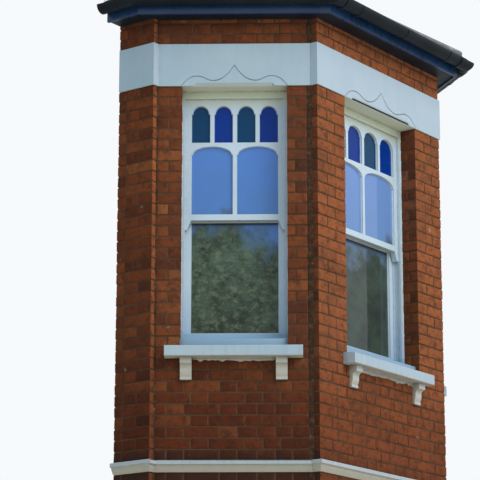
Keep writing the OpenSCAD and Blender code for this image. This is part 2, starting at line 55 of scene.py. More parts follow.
# Plan, from the model's boxes and the sizes that no box shows
LEFT, FRONT, RIGHT = SIDES = -1, 0, 1
CANT_ANGLE = radians(55)
RETURN_LEN = 0.293
NIB = 0.048
WALL_T = 0.225
REVEAL = 0.125
CANT_OPEN, FRONT_OPEN = 0.720, 0.918
WALL_LOW, WALL_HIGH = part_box("upper_brickwork")
HALF_W, WALL_Y, PLATE_Z = WALL_HIGH
FRONT_Y = WALL_LOW.y
FRONT_LEN = 2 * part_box("front_base_wall")[1].x
SIN_C, COS_C = sin(CANT_ANGLE), cos(CANT_ANGLE)
CANT_LEN = (HALF_W - FRONT_LEN / 2 - NIB) / COS_C

# Heights
STRING_LOW, STRING_HIGH = (corner.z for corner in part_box("front_string_course"))
COURSE = STRING_HIGH - STRING_LOW
SILL_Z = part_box("front_sill")[0].z
SEAT_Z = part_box("front_window_frame")[0].z
BAND_LOW, BAND_HIGH = (corner.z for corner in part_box("front_head_band"))
LOWER_LOW, LOWER_HIGH = (corner.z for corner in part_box("front_lower_sash"))
LOWER_TOP_RAIL = 0.042
LOWER_GLASS_HIGH = LOWER_HIGH - LOWER_TOP_RAIL
LOWER_GLASS_LOW, CLEAR_HIGH = (corner.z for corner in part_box("clear_glass"))
COLOURED_LOW, COLOURED_HIGH = (corner.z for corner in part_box("coloured_glass"))


# Shader graphs

MATERIALS = {}


class Tree:
    """Node tree of a material or of the sky, with short calls to fill it."""

    def __init__(self, owner):
        owner.use_nodes = True
        self.tree = owner.node_tree

    def put(self, socket, value):
        """Link a socket or set a value."""
        if isinstance(value, bpy.types.NodeSocket):
            self.tree.links.new(value, socket)
        else:
            socket.default_value = value

    def add(self, kind, inputs=None, **settings):
        node = self.tree.nodes.new("ShaderNode" + kind)
        for name, value in settings.items():
            setattr(node, name, value)
        for key, value in (inputs or {}).items():
            self.put(node.inputs[key], value)
        return node

    def math(self, operation, first, second=0.0):
        return self.add("Math", {0: first, 1: second}, operation=operation).outputs[0]


class Graph(Tree):
    """Material under construction, with the colour laid so far."""

    def __init__(self, name):
        self.name, self.colour = name, None
        self.material = bpy.data.materials.new(name)
        super().__init__(self.material)
        self.shader = self.tree.nodes["Principled BSDF"]
        self.place = self.add("TexCoord").outputs["Object"]

    def noise(self, scale, detail=3.0, rough=0.55, stretch=None, distortion=0.0):
        place = self.place
        if stretch:
            place = self.add("Mapping", {"Vector": place, "Scale": stretch}).outputs["Vector"]
        inputs = {
            "Vector": place, "Scale": scale, "Detail": detail, "Roughness": rough, "Distortion": distortion}
        return self.add("TexNoise", inputs).outputs["Fac"]

    def cells(self, scale):
        return self.add("TexVoronoi", {"Vector": self.place, "Scale": scale}).outputs["Distance"]

    def attribute(self, name):
        return self.add("Attribute", attribute_name=name).outputs["Fac"]

    def axis(self, name):
        """Coordinate of the place on the surface."""
        return self.add("SeparateXYZ", {0: self.place}).outputs[name]

    def facing(self, name):
        """Component of the surface's normal along an axis."""
        normal = self.add("NewGeometry").outputs["Normal"]
        return self.add("SeparateXYZ", {0: normal}).outputs[name]

    def both(self, first, second):
        return self.math("MULTIPLY", first, second)

    def span(self, value, low, high, to_low=0.0, to_high=1.0):
        """Bring a value from one range to another, clamped at its ends."""
        inputs = {"Value": value, "From Min": low, "From Max": high, "To Min": to_low, "To Max": to_high}
        return self.add("MapRange", inputs).outputs[0]

    def patches(self, low, high, share, scale, detail=3.0, rough=0.55):
        """Share that rises from none to its full value where the noise goes from low to high."""
        return self.span(self.noise(scale, detail, rough), low, high, 0.0, share)

    def waver(self, low, high, scale, detail=3.0, rough=0.55):
        """Number that wanders between two values over the surface."""
        return self.span(self.noise(scale, detail, rough), 0.3, 0.7, low, high)

    def on_front(self, share):
        """The share on faces that look straight forwards, and none elsewhere."""
        return self.span(self.facing("Y"), -0.75, -0.95, 0.0, share)

    def off_front(self, share):
        """The share on faces that look straight forwards, and 1 elsewhere."""
        return self.span(self.facing("Y"), -0.92, -0.70, share, 1.0)

    def ramp(self, value, stops):
        node = self.add("ValToRGB", {0: value})
        ends = node.color_ramp.elements
        while len(ends) < len(stops):
            ends.new(0.5)
        for element, (position, colour) in zip(ends, stops):
            element.position = position
            element.color = (*colour, 1)
        return node.outputs["Color"]

    def two_tone(self, scale, low, high):
        return self.ramp(self.noise(scale, 4), [(0.35, low), (0.65, high)])

    def mix(self, share, first, second, blend="MIX"):
        node = self.add("Mix", {"Factor": share}, data_type="RGBA", blend_type=blend)
        colours = [socket for socket in node.inputs if socket.type == "RGBA"]
        for socket, value in zip(colours, (first, second)):
            self.put(socket, (*value, 1) if isinstance(value, tuple) else value)
        return next(socket for socket in node.outputs if socket.type == "RGBA")

    def coat(self, label, colour, *shares, blend="MIX"):
        """Lay a colour over the ones so far, by the product of the shares."""
        self.colour = self.mix(reduce(self.both, shares), self.colour, colour, blend)
        self.colour.node.label = label

    def worn_edges(self, radius):
        """Share from 0 on flat faces to 1 at sharp edges."""
        rounded = self.add("Bevel", {"Radius": radius}, samples=4).outputs[0]
        flat = self.add("NewGeometry").outputs["Normal"]
        product = self.add("VectorMath", {0: rounded, 1: flat}, operation="DOT_PRODUCT")
        return self.span(product.outputs["Value"], 1.0, 0.8)

    def hollows(self, distance):
        """Share from 0 in the open to 1 deep in a corner."""
        node = self.add("AmbientOcclusion", {"Distance": distance}, samples=6)
        return self.span(node.outputs["AO"], 0.95, 0.35)

    def bump(self, *layers):
        """Stack of (height, strength, depth) layers, set as the surface's normal."""
        normal = None
        for height, strength, depth in layers:
            node = self.add("Bump", {"Height": height, "Strength": strength, "Distance": depth})
            if normal:
                self.put(node.inputs["Normal"], normal)
            normal = node.outputs["Normal"]
        self.put(self.shader.inputs["Normal"], normal)

    def finish(self, rough, shine=0.5, metallic=0.0):
        """Set the shader and keep the material under its name."""
        names = "Base Color", "Roughness", "Specular IOR Level", "Metallic"
        for name, value in zip(names, (self.colour, rough, shine, metallic)):
            self.put(self.shader.inputs[name], value)
        MATERIALS[self.name] = self.material


def brick():
    """Fired clay, from plum to orange, one tone a brick, with sandy skin, soot and pale bloom."""
    g = Graph("brick")
    g.colour = g.ramp(g.attribute("tone"), [
        (0.00, (0.062, 0.020, 0.012)),
        (0.22, (0.110, 0.030, 0.013)),
        (0.50, (0.165, 0.045, 0.016)),
        (0.78, (0.225, 0.063, 0.021)),
        (1.00, (0.290, 0.100, 0.036))])
    # Painted light: bricks on faces that look straight forwards are lighter and more orange
    g.coat("lit_front_brick", (0.450, 0.144, 0.051), g.on_front(0.62))
    g.coat("dark", (0.048, 0.018, 0.012), g.patches(0.48, 0.66, 0.80, 17, 6, 0.75))
    g.coat("flame", (0.320, 0.080, 0.022), g.patches(0.54, 0.70, 0.60, 29, 4, 0.7))
    pits = g.patches(0.57, 0.68, 0.65, 58, 3, 0.8)
    g.coat("pits", (0.040, 0.016, 0.012), pits)
    g.coat("soot", (0.045, 0.024, 0.017), g.patches(0.45, 0.72, 0.45, 2.3, 5, 0.65))
    # Darker below the sill, a little less on faces that look forwards: damp staining and painted shade
    damp_and_shade = g.span(g.axis("Z"), SILL_Z + 0.1, SILL_Z - 0.3)
    g.coat("damp_and_shade", (0.575, 0.453, 0.437), damp_and_shade, g.off_front(0.75), blend="MULTIPLY")
    # Painted shade on the two returns, which face away from the light, and their soot
    return_shade_and_soot = g.span(g.math("ABSOLUTE", g.axis("X")), HALF_W - 0.006, HALF_W - 0.002)
    g.coat("return_shade_and_soot", (0.800, 0.730, 0.640), return_shade_and_soot, blend="MULTIPLY")
    # Dark band just above the string course, faint on faces that look forwards: splash dirt and painted
    # shade
    height = g.math("ADD", g.axis("Z"), g.waver(-0.03, 0.03, 6, 4))
    splash_and_shade = g.span(height, STRING_HIGH + 0.080, STRING_HIGH + 0.035, 0.0, 0.85)
    g.coat("splash_and_shade", (0.022, 0.011, 0.010), splash_and_shade, g.off_front(0.2))
    g.coat("bloom", (0.230, 0.120, 0.060), g.patches(0.63, 0.76, 0.45, 11, 6, 0.75))
    ragged = g.math("ADD", g.cells(2.6), g.waver(-0.035, 0.035, 34, 5, 0.8))
    g.coat("lime", (0.420, 0.350, 0.260), g.span(ragged, 0.040, 0.020, 0.0, 0.75))
    grains = g.waver(0.0, 1.0, 420, 2)
    g.coat("grains", (0.300, 0.120, 0.055), grains, 0.16)
    g.bump((g.noise(60, 4), 0.6, 0.0016), (pits, -0.5, 0.0012), (grains, 0.5, 0.0004))
    g.finish(g.waver(0.74, 0.95, 50), 0.12)


def mortar():
    """Grey-brown lime mortar, sandy, sooty in places, with paler patches of repair."""
    g = Graph("mortar")
    g.colour = g.ramp(g.noise(7.0, 6, 0.7), [
        (0.30, (0.050, 0.024, 0.013)),
        (0.50, (0.090, 0.050, 0.027)),
        (0.64, (0.140, 0.086, 0.048)),
        (0.78, (0.280, 0.200, 0.125))])
    sand = g.waver(0.0, 1.0, 500, 2)
    g.coat("sand", (0.190, 0.135, 0.085), sand, 0.25)
    g.coat("soot", (0.045, 0.026, 0.015), g.patches(0.45, 0.75, 0.5, 1.7, 4))
    g.coat("lost", (0.070, 0.026, 0.013), g.patches(0.52, 0.62, 0.65, 14, 4, 0.7))
    g.bump((g.noise(90, 4), 0.6, 0.0012), (sand, 0.7, 0.0005))
    g.finish(0.95, 0.1)


def corner_mortar():
    """Mortar of the open corner joints, painted dark for the shade in these deep inner corners, with pale
    lumps of lime.
    """
    g = Graph("corner_mortar")
    g.colour = g.ramp(g.noise(24, 6, 0.75), [
        (0.34, (0.024, 0.012, 0.008)),
        (0.50, (0.052, 0.028, 0.017)),
        (0.62, (0.100, 0.060, 0.036)),
        (0.70, (0.300, 0.270, 0.215))])
    sand = g.waver(0.0, 1.0, 450, 2)
    g.coat("sand", (0.130, 0.085, 0.055), sand, 0.2)
    g.bump((g.noise(70, 5, 0.7), 0.8, 0.003), (sand, 0.7, 0.0005))
    g.finish(0.95, 0.1)


# Warm cream of painted bounce light on faces that look down, and the range of facing it covers
BOUNCE_LIGHT_UNDER, HALF_UNDER = (0.560, 0.530, 0.420), (-0.04, -0.40)


def painted_stone(name, low, high, under=BOUNCE_LIGHT_UNDER, turned_down=HALF_UNDER, streaked=0.30):
    """Masonry paint on stone: painted warm bounce light underneath, painted highlight on the front, dirt
    and painted shade in corners, streaked under ledges and chipped at edges.
    """
    g = Graph(name)
    g.colour = g.two_tone(2.6, low, high)
    # Painted highlight: faces that look straight forwards are lighter
    g.coat("lit_front_paint", (0.530, 0.610, 0.740), g.on_front(0.45))
    # Painted bounce light: faces that look down turn cream
    g.coat("under", under, g.span(g.facing("Z"), *turned_down, 0.0, 0.95))
    streaks = g.span(g.noise(7.0, 4, 0.6, stretch=(4.0, 4.0, 0.35)), 0.50, 0.80, 0.0, streaked)
    g.coat("streaks", (0.260, 0.290, 0.270), streaks)
    # Dirt and painted shade in corners, from ambient occlusion
    grime_and_shade = g.span(g.noise(14, 5, 0.7), 0.35, 0.65, 0.15, 0.8)
    g.coat("grime_and_shade", (0.170, 0.165, 0.135), g.hollows(0.05), grime_and_shade)
    chips = g.both(g.worn_edges(0.006), g.patches(0.52, 0.60, 1.0, 75, 4, 0.7))
    g.coat("chips", (0.230, 0.200, 0.160), chips)
    g.bump((g.noise(26, 4), 0.25, 0.002), (g.noise(240, 3), 0.3, 0.0005), (chips, -0.4, 0.001))
    g.finish(g.waver(0.5, 0.72, 30), 0.25)


def joinery():
    """Gloss paint on timber: brushed along the grain, with painted light and shade, dirt and painted shade
    in its corners, and worn at edges.
    """
    g = Graph("joinery")
    height = g.axis("Z")
    outside = g.span(g.facing("Y"), 0.3, 0.05)
    # Pale blue-grey paint: the blue is painted sky light on white paint
    g.colour = g.two_tone(3.4, (0.560, 0.710, 0.820), (0.620, 0.760, 0.860))
    # Painted warm light on the outside of the frame just under the head band
    painted_warm_light = g.span(height, BAND_LOW - 0.12, BAND_LOW - 0.03, 0.0, 0.8)
    g.coat("painted_warm_light", (0.700, 0.740, 0.500), painted_warm_light, outside)
    # Darker and bluer towards the seat, on the outside
    g.coat("darker_near_seat", (0.400, 0.545, 0.720), g.span(height, SEAT_Z + 0.45, SEAT_Z + 0.10, 0.0, 0.75), outside)
    # Painted shade on the bottom rail of the lower sash, outside
    rail = g.span(height, LOWER_GLASS_LOW + 0.004, LOWER_GLASS_LOW - 0.010, 0.0, 0.5)
    g.coat("rail", (0.200, 0.430, 0.600), rail, outside)
    # Painted shade: a darker band on the nose of the frame's sill
    g.coat("nosing", (0.275, 0.435, 0.595), g.span(height, SEAT_Z + 0.073, SEAT_Z + 0.058, 0.0, 0.85))
    # Painted warm bounce light on faces that look down
    g.coat("under", (0.600, 0.570, 0.420), g.span(g.facing("Z"), -0.5, -0.95, 0.0, 0.8))
    # Dirt and painted shade in corners, from ambient occlusion
    grime_and_shade = g.span(g.noise(22, 5, 0.7), 0.35, 0.65, 0.05, 0.45)
    g.coat("grime_and_shade", (0.190, 0.200, 0.190), g.hollows(0.03), grime_and_shade)
    g.coat("worn", (0.300, 0.260, 0.200), g.worn_edges(0.003), g.patches(0.56, 0.62, 1.0, 60, 4, 0.7))
    brushed = g.noise(36, 4, 0.6, stretch=(6.0, 6.0, 0.6))
    g.bump((brushed, 0.22, 0.0006), (g.noise(300, 2), 0.12, 0.0003))
    g.finish(g.waver(0.26, 0.42, 18), 0.4)


def glass_graph(name):
    """Old drawn glass with a slight ripple, which lets a little light through its own tint."""
    g = Graph(name)
    g.put(g.shader.inputs["Transmission Weight"], 0.12)
    g.put(g.shader.inputs["IOR"], 1.5)
    g.bump((g.noise(5.0, 2, stretch=(1.0, 1.0, 0.5)), 0.10, 0.004))
    return g


def clear_glass():
    """Painted reflections: the blue of a clear sky in the upper panes, dim and mottled foliage in the lower
    ones.
    """
    g = glass_graph("clear_glass")
    height = g.axis("Z")
    # Painted reflection: sky blue above the skyline, dark foliage green below it
    skyline = g.math("ADD", g.span(height, SILL_Z, BAND_LOW), g.waver(-0.12, 0.12, 2.1, 4, 0.6))
    g.colour = g.ramp(skyline, [
        (0.05, (0.075, 0.130, 0.072)),
        (0.44, (0.080, 0.145, 0.100)),
        (0.56, (0.100, 0.270, 0.660)),
        (1.00, (0.110, 0.300, 0.900))])
    low = g.span(skyline, 0.54, 0.42)
    # Painted reflections of foliage: dim, shaded and dappled patches in the lower panes
    g.coat("dim", (0.016, 0.030, 0.020), g.patches(0.42, 0.62, 0.75, 3.6, 5, 0.65), low)
    lively = g.both(low, g.off_front(0.15))
    g.coat("shade", (0.012, 0.024, 0.014), g.patches(0.43, 0.62, 0.85, 12, 6, 0.75), lively)
    dapple = g.span(g.noise(19, 6, 0.8, stretch=(1.0, 1.0, 1.3)), 0.49, 0.70, 0.0, 0.85)
    g.coat("dapple", (0.210, 0.270, 0.150), dapple, lively)
    # Painted reflection on the front panes: paler blue above, dark grey below
    g.coat("front", g.mix(low, (0.300, 0.440, 0.720), (0.058, 0.062, 0.074)), g.on_front(0.45))
    # Painted shadow of the meeting rail along the top of the lower pane
    rail_shadow = g.span(height, LOWER_GLASS_HIGH - 0.028, LOWER_GLASS_HIGH - 0.010, 0.0, 0.85)
    lower_pane = g.span(height, LOWER_GLASS_HIGH + 0.003, LOWER_GLASS_HIGH + 0.006, 1.0, 0.0)
    g.coat("under rail", (0.026, 0.020, 0.018), rail_shadow, lower_pane)
    g.finish(0.03, 0.25)


def coloured_glass():
    """Teal and deep blue lights by turns, told apart by their place along each window."""
    g = glass_graph("coloured_glass")
    g.colour = g.mix(g.attribute("light"), (0.004, 0.062, 0.165), (0.002, 0.042, 0.320))
    g.coat("uneven", (0.003, 0.055, 0.220), g.patches(0.4, 0.7, 0.2, 30))
    g.finish(0.03, 0.08)


def dark_gloss(name, low, high, shine=0.15, rough=0.45):
    """Dark gloss paint with dust on its ledges."""
    g = Graph(name)
    g.colour = g.two_tone(4.0, low, high)
    dust = g.both(g.span(g.facing("Z"), 0.3, 0.9), g.span(g.noise(12, 5), 0.4, 0.7, 0.2, 0.8))
    g.coat("dust", (0.100, 0.095, 0.085), dust)
    g.coat("worn", (0.090, 0.070, 0.055), g.both(g.worn_edges(0.003), g.patches(0.52, 0.6, 1.0, 55, 4)))
    g.bump((g.noise(28, 4, 0.6, stretch=(1.0, 1.0, 4.0)), 0.2, 0.0008))
    g.finish(g.waver(rough - 0.08, rough + 0.08, 16), shine)


def slate():
    """Riven slate: blue-grey to purple, one tone a slate, with lichen and fine cleavage lines."""
    g = Graph("slate")
    g.colour = g.ramp(g.attribute("tone"), [
        (0.0, (0.040, 0.046, 0.058)),
        (0.5, (0.066, 0.074, 0.090)),
        (1.0, (0.098, 0.098, 0.116))])
    g.coat("weathered", (0.120, 0.115, 0.105), g.patches(0.5, 0.75, 0.4, 8, 5, 0.7))
    g.coat("lichen", (0.215, 0.215, 0.130), g.patches(0.66, 0.72, 0.7, 24, 5, 0.75))
    g.bump((g.noise(30, 5, 0.6, distortion=0.6), 0.5, 0.002), (g.noise(180, 3), 0.3, 0.0005))
    g.finish(g.waver(0.42, 0.68, 30))


def lead():
    """Sheet lead: dull grey with white patina, dressed by hand."""
    g = Graph("lead")
    g.colour = g.ramp(g.noise(7, 5, 0.65), [
        (0.30, (0.125, 0.130, 0.140)),
        (0.55, (0.200, 0.205, 0.215)),
        (0.78, (0.340, 0.345, 0.350))])
    g.bump((g.noise(11, 3), 0.5, 0.004), (g.noise(70, 4), 0.3, 0.0008))
    g.finish(g.waver(0.45, 0.7, 22, 4), metallic=0.55)


def shaded(colour, share):
    return tuple(share * part for part in colour)


def timber(name, light, dark, rough=0.8):
    """Softwood with grain along the piece and darker knots."""
    g = Graph(name)
    grain = g.noise(9, 5, 0.6, stretch=(1.0, 9.0, 9.0), distortion=0.8)
    g.colour = g.ramp(grain, [(0.30, dark), (0.55, light), (0.75, shaded(light, 0.8))])
    g.coat("knots", shaded(dark, 0.35), g.span(g.cells(3.3), 0.10, 0.05))
    g.coat("weathered", shaded(light, 0.5), g.patches(0.45, 0.8, 0.4, 2.2, 4))
    g.bump((grain, 0.35, 0.0009), (g.noise(160, 3), 0.25, 0.0004))
    g.finish(rough)


def plaster(name, colour):
    """Emulsion on trowelled plaster, with painted shade in its corners."""
    g = Graph(name)
    g.colour = g.mix(g.patches(0.35, 0.7, 1.0, 2.0, 4), colour, shaded(colour, 0.86))
    # Painted shade in the corners, from ambient occlusion
    g.coat("grime_and_shade", (0.300, 0.280, 0.240), g.hollows(0.12), 0.5)
    g.bump((g.noise(9, 4), 0.3, 0.003), (g.noise(140, 3), 0.2, 0.0004))
    g.finish(0.85)


def brass():
    """Lacquered brass gone brown in its hollows."""
    g = Graph("brass")
    g.colour = g.mix(g.patches(0.4, 0.7, 0.6, 40, 4), (0.62, 0.42, 0.16), (0.30, 0.19, 0.08))
    g.coat("tarnish", (0.16, 0.11, 0.06), g.hollows(0.01))
    g.bump((g.noise(90, 3), 0.2, 0.0003))
    g.finish(g.waver(0.22, 0.42, 60), metallic=0.9)


def cord():
    """Waxed cotton cord with the twist of its strands."""
    g = Graph("cord")
    waves = {"Vector": g.place, "Scale": 130}
    strands = g.add("TexWave", waves, bands_direction="DIAGONAL").outputs["Fac"]
    g.colour = g.mix(strands, (0.34, 0.30, 0.23), (0.60, 0.56, 0.47))
    g.bump((strands, 0.6, 0.0008))
    g.finish(0.85, 0.2)


# Pale paint tinted blue-grey: painted sky light on white paint in the shade
PALE_PAINT = (0.400, 0.540, 0.625), (0.455, 0.590, 0.665)
brick()
mortar()
corner_mortar()
painted_stone("painted_stone", *PALE_PAINT)
# Band: a brighter cream on its underside, painted bounce light, and fewer streaks
painted_stone("band_stone", *PALE_PAINT, (0.740, 0.730, 0.520), (-0.55, -0.95), 0.10)
painted_stone("string_stone", (0.420, 0.510, 0.545), (0.470, 0.560, 0.590))
# Warmer copy of the paint for the brackets and pointing under the sills: painted warm bounce light
painted_stone("warm_lit_stone", (0.520, 0.525, 0.475), (0.590, 0.585, 0.520))
joinery()
clear_glass()
coloured_glass()
# Eaves: dark gloss tinted blue, a painted reflection of the sky
dark_gloss("eaves_paint", (0.011, 0.038, 0.098), (0.016, 0.052, 0.130), 0.35, 0.30)
dark_gloss("soffit_paint", (0.008, 0.013, 0.019), (0.014, 0.022, 0.030))
dark_gloss("gutter_metal", (0.005, 0.009, 0.013), (0.010, 0.016, 0.022))
slate()
lead()
timber("rough_timber", (0.42, 0.28, 0.16), (0.24, 0.14, 0.07))
timber("floorboards", (0.30, 0.17, 0.085), (0.16, 0.08, 0.04), 0.45)
plaster("interior_paint", (0.66, 0.65, 0.60))
plaster("plaster", (0.60, 0.57, 0.50))
brass()
cord()


# Plan geometry: the outline follows the nibs at the corners, the plain one leaves them out


def cant_at_x(d, x):
    start_x = -HALF_W + NIB
    return Vector((x, WALL_Y - RETURN_LEN - (d + (x - start_x) * SIN_C) / COS_C))


def cant_at_y(d, y):
    start_x = -HALF_W + NIB
    return Vector((start_x - (d - (WALL_Y - RETURN_LEN - y) * COS_C) / SIN_C, y))


def left_outline():
    """Corners of the left half of the brick face, from back to front."""
    nib_y = WALL_Y - RETURN_LEN
    front_x = -FRONT_LEN / 2
    return [
        Vector((-HALF_W, WALL_Y)),
        Vector((-HALF_W, nib_y)),
        cant_at_y(0, nib_y),
        cant_at_x(0, front_x),
        Vector((front_x, FRONT_Y)),
    ]


def left_plain(d):
    """Corners of the left half of the plain outline moved out by d."""
    return [Vector((-HALF_W - d, WALL_Y)), cant_at_x(d, -HALF_W - d), cant_at_y(d, FRONT_Y - d)]


def mirrored(points):
    return [Vector((-p.x, p.y)) for p in reversed(points)]


def plain(d):
    return left_plain(d) + mirrored(left_plain(d))


def face_matrix(side):
    """Place of a face: X along it, Y into the wall, origin in its middle on the brick."""
    if side == FRONT:
        return Matrix.Translation((0, FRONT_Y, 0))
    x = side * (HALF_W - NIB - CANT_LEN * COS_C / 2)
    y = WALL_Y - RETURN_LEN - CANT_LEN * SIN_C / 2
    return Matrix.Translation((x, y, 0)) @ Matrix.Rotation(side * CANT_ANGLE, 4, "Z")


def spaced(start, end, count):
    """Values from start to end, count equal steps apart."""
    return [start + (end - start) * k / count for k in range(count + 1)]


def placed(matrix, points):
    return [matrix @ Vector(point) for point in points]


def opening(side):
    return FRONT_OPEN if side == FRONT else CANT_OPEN


def normal_of(a, b):
    along = (b - a).normalized()
    return Vector((along.y, -along.x))


def mitre(before, after):
    """How far a corner between two normals moves for each metre outwards."""
    return (before + after) / (1 + before.dot(after))


def area(points):
    return sum(a.cross(b) for a, b in zip(points, points[1:] + points[:1])) / 2


def clipped(points, region):
    """Part of a polygon inside a convex region that runs anticlockwise."""
    for a, b in zip(region, region[1:] + region[:1]):
        side = [(b - a).cross(p - a) for p in points]
        kept = []
        for k, p in enumerate(points):
            after = (k + 1) % len(points)
            q, d, e = points[after], side[k], side[after]
            if d >= 0:
                kept.append(p)
            if (d >= 0) != (e >= 0):
                kept.append(p + (q - p) * (d / (d - e)))
        points = kept
        if len(points) < 3:
            return []
    return points


class Path:
    """Line in plan, the outside on its right. A place is a distance along it and one out of it."""

    def __init__(self, points):
        self.starts, self.stretches = [0.0], []
        for a, b in zip(points, points[1:]):
            self.starts.append(self.starts[-1] + (b - a).length)
            self.stretches.append((a, (b - a).normalized(), normal_of(a, b)))
        self.length = self.starts[-1]
        normals = [normal for _, _, normal in self.stretches]
        shifts = map(mitre, [normals[0], *normals], [*normals, normals[-1]])
        self.corner_places = list(zip(self.starts, points, shifts))

    def at(self, along, out):
        for start, point, shift in self.corner_places:
            if abs(along - start) < 1e-6:
                return point + shift * out
        index = max(0, min(bisect(self.starts, along), len(self.stretches)) - 1)
        point, direction, normal = self.stretches[index]
        return point + direction * (along - self.starts[index]) + normal * out

    def corners(self, start, end):
        return [s for s in self.starts if start + 1e-5 < s < end - 1e-5]


def linked(name, data):
    """New object in the scene."""
    item = bpy.data.objects.new(name, data)
    SCENE.collection.objects.link(item)
    return item


class Shape:
    """Collects closed solids and makes one piece of them."""

    def __init__(self):
        self.vertices, self.faces, self.tones = [], [], []

    def add(self, vertices, faces, tone=0.5):
        base = len(self.vertices)
        self.vertices += [tuple(v) for v in vertices]
        self.faces += [tuple(base + k for k in face) for face in faces]
        self.tones += [tone] * len(vertices)

    def loft(self, rings, tone=0.5, closed=False):
        """Skin over rings of as many points each, with flat ends or joined into a loop."""
        n = len(rings[0])
        faces = []
        for i in range(len(rings) - (0 if closed else 1)):
            a, b = i * n, (i + 1) % len(rings) * n
            faces += [(a + k, a + (k + 1) % n, b + (k + 1) % n, b + k) for k in range(n)]
        if not closed:
            faces += [tuple(range(n)), tuple(range((len(rings) - 1) * n, len(rings) * n))]
        self.add([v for ring in rings for v in ring], faces, tone)

    def prism(self, points, low, high, tone=0.5):
        """Solid over a plan polygon. The heights are numbers or functions of a point."""
        levels = [level if callable(level) else lambda p, z=level: z for level in (low, high)]
        self.loft([[(p.x, p.y, level(p)) for p in points] for level in levels], tone)

    def box(self, matrix, low, high):
        (x0, y0, z0), (x1, y1, z1) = low, high
        corners = (x0, y0), (x1, y0), (x1, y1), (x0, y1)
        self.loft([placed(matrix, [(*corner, z) for corner in corners]) for z in (z0, z1)])

    def make(self, name, slot, material=None, smooth=radians(35), replaces=()):
        mesh = bpy.data.meshes.new(name)
        mesh.from_pydata(self.vertices, [], self.faces)
        layer = mesh.attributes.new("tone", "FLOAT", "POINT")
        layer.data.foreach_set("value", self.tones)
        shape = bmesh.new()
        shape.from_mesh(mesh)
        bmesh.ops.recalc_face_normals(shape, faces=shape.faces)
        shape.to_mesh(mesh)
        shape.free()
        mesh.polygons.foreach_set("use_smooth", [True] * len(mesh.polygons))
        mesh.set_sharp_from_angle(angle=smooth)
        piece = linked(name, mesh)
        mesh.materials.append(MATERIALS[material or slot])
        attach(piece, "root")
        if replaces:
            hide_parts(*replaces)


# Brickwork: each brick is a closed shell, standing proud of the mortar

JOINT = 0.008
HEADER, STRETCHER = 0.1125, 0.235
BRICK_OUT, BRICK_IN = 0.0028, -0.004
SIDE_STEP = 0.0008
ARRIS, ARRIS_DROP, CHIP_DEPTH = 0.0034, 0.0016, 0.005
SKIN_DEPTH, WOBBLE = 0.0009, 0.0012
COLUMN_PACE, ROW_PACE = 0.045, 0.022
CORNER_GAP = 0.028
BASE_T = 0.330
EVEN, ODD = 0, 1


def steps_between(start, end, corners, pace):
    """Places from start to end about a pace apart, with every corner among them."""
    marks = [start, *corners, end]
    found = []
    for a, b in zip(marks, marks[1:]):
        count = max(1, round((b - a) / pace))
        found += spaced(a, b, count)[:-1]
    return found + [end]


def ring_marks(start, end, corners, pace):
    """Places across a brick: its side, its arris, its face, and the same again."""
    inner = steps_between(start + ARRIS, end - ARRIS, corners, pace)
    return [start, start + SIDE_STEP, *inner, end - SIDE_STEP, end]


class Bricks(Shape):
    """Bricks along a path, one tone each."""

    def __init__(self, seed):
        super().__init__()
        self.random = random.Random(seed)

    def brick(self, path, start, end, low, high):
        tone = min(max(self.random.gauss(0.5, 0.22), 0.0), 1.0)
        proud = BRICK_OUT + self.random.gauss(0, 0.0006)
        tilt = self.random.gauss(0, 0.008)
        columns = ring_marks(start, end, path.corners(start + ARRIS, end - ARRIS), COLUMN_PACE)
        rows = ring_marks(low, high, [], ROW_PACE)
        wide, tall = len(columns), len(rows)
        vertices = []
        for i, along in enumerate(columns):
            x, y = path.at(along, 0)
            for j, z in enumerate(rows):
                ring = min(i, j, wide - 1 - i, tall - 1 - j)
                depth, lift = BRICK_IN, 0.0
                if ring > 0:
                    skin = noise((x * 31, y * 31 + z * 17, z * 37))
                    depth = proud + tilt * (z - low) + skin * SKIN_DEPTH
                    lift = noise((x * 19, y * 19 + 5, z * 6)) * WOBBLE
                if ring == 1:
                    chip = max(0.0, noise((x * 47 + 9, y * 47, z * 47)) - 0.2)
                    depth -= ARRIS_DROP + chip * CHIP_DEPTH
                vertices.append((*path.at(along, depth), z + lift))
        faces = []
        for a in range(0, (wide - 1) * tall, tall):
            faces += [(a + j, a + j + tall, a + j + tall + 1, a + j + 1) for j in range(tall - 1)]
        for i in range(wide - 1):
            a, b = i * tall, (i + 1) * tall
            left = range(a, a + tall) if i == 0 else (a, a + tall - 1)
            right = range(b + tall - 1, b - 1, -1) if i == wide - 2 else (b + tall - 1, b)
            faces.append((*left, *right))
        self.add(vertices, faces, tone)

    def wall(self, path, low, high, joints):
        """Courses between two heights, with the joints of even and odd courses over the floor."""
        first = round((low - STRING_HIGH) / COURSE)
        for k in range(first, first + round((high - low) / COURSE)):
            bottom = STRING_HIGH + k * COURSE + JOINT / 2
            marks = [0.0, *joints[k % 2], path.length]
            for start, end in zip(marks, marks[1:]):
                self.brick(path, start + JOINT / 2, end - JOINT / 2, bottom, bottom + COURSE - JOINT)


def millimetres(*values):
    return [value / 1000 for value in values]


# Joints along each stretch, for even and odd courses counted from the floor
RETURN_JOINTS = millimetres(112, 283), millimetres(112, 293, 405)
CANT_JOINTS = millimetres(82, 197, 431, 545, 675, 795, 909, 1020), millimetres(240, 357, 597, 714, 831)
FRONT_JOINTS = (
    millimetres(255, 368, 603, 715, 950, 1063, 1298, 1410),
    millimetres(194, 429, 542, 777, 889, 1124, 1237, 1472))
CANT_PIER_JOINTS = millimetres(82), millimetres(222)
FRONT_PIER_JOINTS = millimetres(255), millimetres(160, 436)


def backwards(path, joints):
    return [sorted(path.length - place for place in row) for row in joints]


